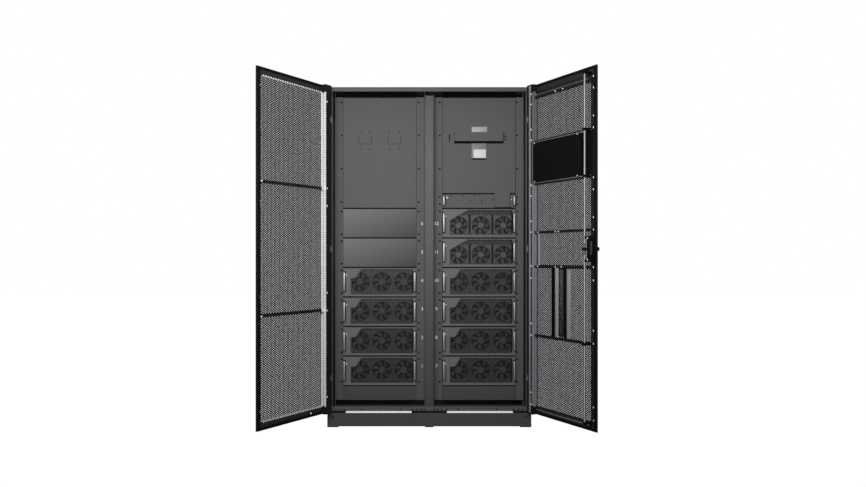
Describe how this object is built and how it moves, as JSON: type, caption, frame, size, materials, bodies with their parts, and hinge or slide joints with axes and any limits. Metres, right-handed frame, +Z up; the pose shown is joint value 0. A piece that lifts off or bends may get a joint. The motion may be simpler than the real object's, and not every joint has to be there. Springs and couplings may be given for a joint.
{
  "type": "modular ups cabinet",
  "caption": "Floor-standing two-bay power cabinet on a plinth, with plug-in fan-cooled modules, rack panels, hinged perforated doors and a rod lock.",
  "frame": {"origin": "middle of the plinth's footprint, on the floor, at the centre of the anchor holes", "axes": "+Z up, -Y towards the doors, +X to the right seen from the front"},
  "size_m": [1.7933, 1.4124, 2],
  "materials": {
    "frame_paint": "fine textured dark grey powder coat",
    "panel_paint": "satin grey powder coat",
    "door_paint": "fine textured black powder coat",
    "mesh_sheet": "black coated perforated sheet",
    "grille_black": "black coated sheet",
    "fan_plastic": "moulded black plastic",
    "case_zinc": "zinc plated sheet",
    "handle_grey": "satin grey",
    "black_plastic": "moulded black plastic",
    "screen_glass": "dark display glass",
    "button_red": "red moulded button",
    "bright_steel": "bright zinc plated steel"
  },
  "bodies": {
    "cabinet": {"base_floor": "frame_paint", "base_lips": "frame_paint", "base_spacers": "frame_paint", "blank_panels": "panel_paint", "bottom_plates": "panel_paint", "bypass_panel": "panel_paint", "cable_plates": "frame_paint", "centre_post": "frame_paint", "control_button": "button_red", "control_handles": "handle_grey", "control_plates": "panel_paint", "corner_posts": "frame_paint", "fan_rotors": "fan_plastic", "fan_trays": "grille_black", "hinge_brackets": "bright_steel", "module_cases": "case_zinc", "module_fronts_left": "panel_paint", "module_fronts_right": "panel_paint", "module_grilles_left": "grille_black", "module_grilles_right": "grille_black", "module_handles_left": "handle_grey", "module_handles_right": "handle_grey", "plinth_feet": "black_plastic", "plinth_front": "frame_paint", "plinth_left": "frame_paint", "plinth_rear": "frame_paint", "plinth_right": "frame_paint", "rack_rails": "panel_paint", "rear_mesh": "mesh_sheet", "rear_panel_left": "frame_paint", "rear_panel_right": "frame_paint", "roof_lips": "frame_paint", "roof_panel": "frame_paint", "side_panel_left": "frame_paint", "side_panel_right": "frame_paint", "switch_guard": "panel_paint", "switch_plate": "panel_paint", "upper_panel": "panel_paint"},
    "left_door": {"left_door_frame": "door_paint", "left_door_mesh": "mesh_sheet", "left_door_bars": "door_paint"},
    "right_door": {"right_door_frame": "door_paint", "right_door_mesh": "mesh_sheet", "right_door_bars": "door_paint", "display_box": "black_plastic", "display_screen": "screen_glass", "cable_channel": "door_paint", "hinge_strip": "door_paint", "lock_case": "black_plastic", "rod_guides": "black_plastic"},
    "lock_handle": {"lock_handle": "black_plastic"},
    "upper_lock_rod": {"upper_lock_rod": "bright_steel"},
    "lower_lock_rod": {"lower_lock_rod": "bright_steel"}
  },
  "joints": [
    {"name": "left_door_hinge", "type": "hinge", "parent": "cabinet", "child": "left_door", "pos_m": [-0.588, -0.45, 1.05], "axis": [0, 0, 1], "range_deg": [-4, 121]},
    {"name": "right_door_hinge", "type": "hinge", "parent": "cabinet", "child": "right_door", "pos_m": [0.588, -0.45, 1.05], "axis": [0, 0, -1], "range_deg": [-7.5, 117.5]},
    {"name": "lock_handle_turn", "type": "hinge", "parent": "right_door", "child": "lock_handle", "pos_m": [0.86574, -0.94239, 1.043], "axis": [-0.887, -0.4617, 0], "range_deg": [0, 90]},
    {"name": "upper_rod_slide", "type": "slide", "parent": "right_door", "child": "upper_lock_rod", "axis": [0, 0, 1], "range_m": [0, 0.018]},
    {"name": "lower_rod_slide", "type": "slide", "parent": "right_door", "child": "lower_lock_rod", "axis": [0, 0, -1], "range_m": [0, 0.018]}
  ],
  "couplings": [
    {"joint": "upper_rod_slide", "follows": "lock_handle_turn", "m_per_rad": 0.011459},
    {"joint": "lower_rod_slide", "follows": "lock_handle_turn", "m_per_rad": 0.011459}
  ]
}
